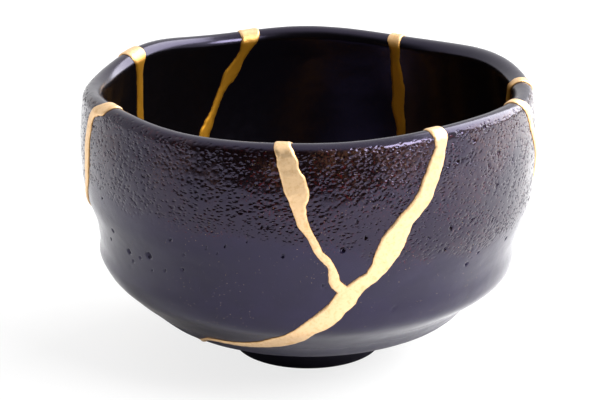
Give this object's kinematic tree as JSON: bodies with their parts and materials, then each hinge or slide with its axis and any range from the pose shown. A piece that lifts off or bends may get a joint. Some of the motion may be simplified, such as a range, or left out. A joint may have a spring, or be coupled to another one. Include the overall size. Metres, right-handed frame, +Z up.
{
  "type": "kintsugi tea bowl",
  "caption": "Hand-formed dark-glazed tea bowl, broken into sherds and rejoined with raised gold lacquer seams.",
  "frame": {"origin": "on the ground under the middle of the bowl, at the centre of the foot ring", "axes": "+Z up through the mouth; -Y towards the front, where the V-shaped sherd and the widest gold seams are; +X to the right seen from the front"},
  "size_m": [0.1231, 0.1233, 0.078],
  "materials": {
    "dark_glaze": "satin",
    "gold_lacquer": "satin"
  },
  "bodies": {
    "root": {"base_sherd": "dark_glaze", "front_v_sherd": "dark_glaze", "front_left_sherd": "dark_glaze", "left_sherd": "dark_glaze", "back_left_sherd": "dark_glaze", "back_sherd": "dark_glaze", "back_right_sherd": "dark_glaze", "right_rim_sherd": "dark_glaze", "gold_seam": "gold_lacquer"}
  },
  "joints": []
}
